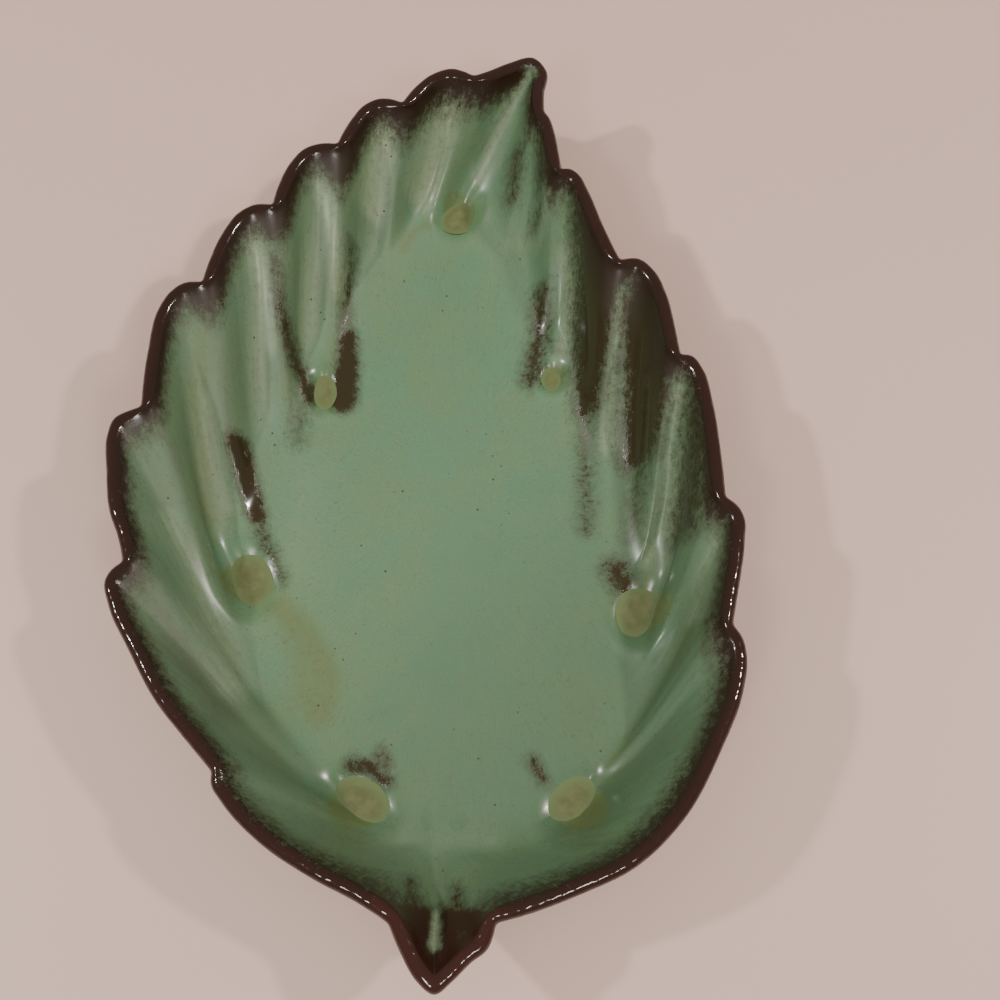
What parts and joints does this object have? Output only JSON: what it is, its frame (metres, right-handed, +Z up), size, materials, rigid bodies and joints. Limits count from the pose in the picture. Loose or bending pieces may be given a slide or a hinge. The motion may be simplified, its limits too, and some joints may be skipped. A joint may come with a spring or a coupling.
{
  "type": "leaf-shaped pottery dish",
  "caption": "Shallow hollow dish in the shape of a toothed leaf, with a rolled rim, grooved walls, a pointed tip and a short stem; holds small things on a table.",
  "frame": {"origin": "middle of the bounding box in plan, on the table the feet stand on", "axes": "+Z up, +Y along the leaf from stem to tip, +X to the right seen from above with the tip away"},
  "size_m": [0.1966, 0.3047, 0.046],
  "materials": {
    "clay_body": "bare fired clay, matt",
    "inside_glaze": "green glaze, satin",
    "rim_glaze": "thin red-brown glaze, glossy",
    "outside_glaze": "green glaze, satin",
    "tip_pool": "pooled olive glass, glossy",
    "upper_left_pool": "pooled olive glass, glossy",
    "upper_right_pool": "pooled olive glass, glossy",
    "middle_left_pool": "pooled olive glass, glossy",
    "middle_right_pool": "pooled olive glass, glossy",
    "lower_left_pool": "pooled olive glass, glossy",
    "lower_right_pool": "pooled olive glass, glossy"
  },
  "bodies": {
    "root": {"clay_body": "clay_body", "inside_glaze": "inside_glaze", "rim_glaze": "rim_glaze", "outside_glaze": "outside_glaze", "tip_pool": "tip_pool", "upper_left_pool": "upper_left_pool", "upper_right_pool": "upper_right_pool", "middle_left_pool": "middle_left_pool", "middle_right_pool": "middle_right_pool", "lower_left_pool": "lower_left_pool", "lower_right_pool": "lower_right_pool"}
  },
  "joints": []
}
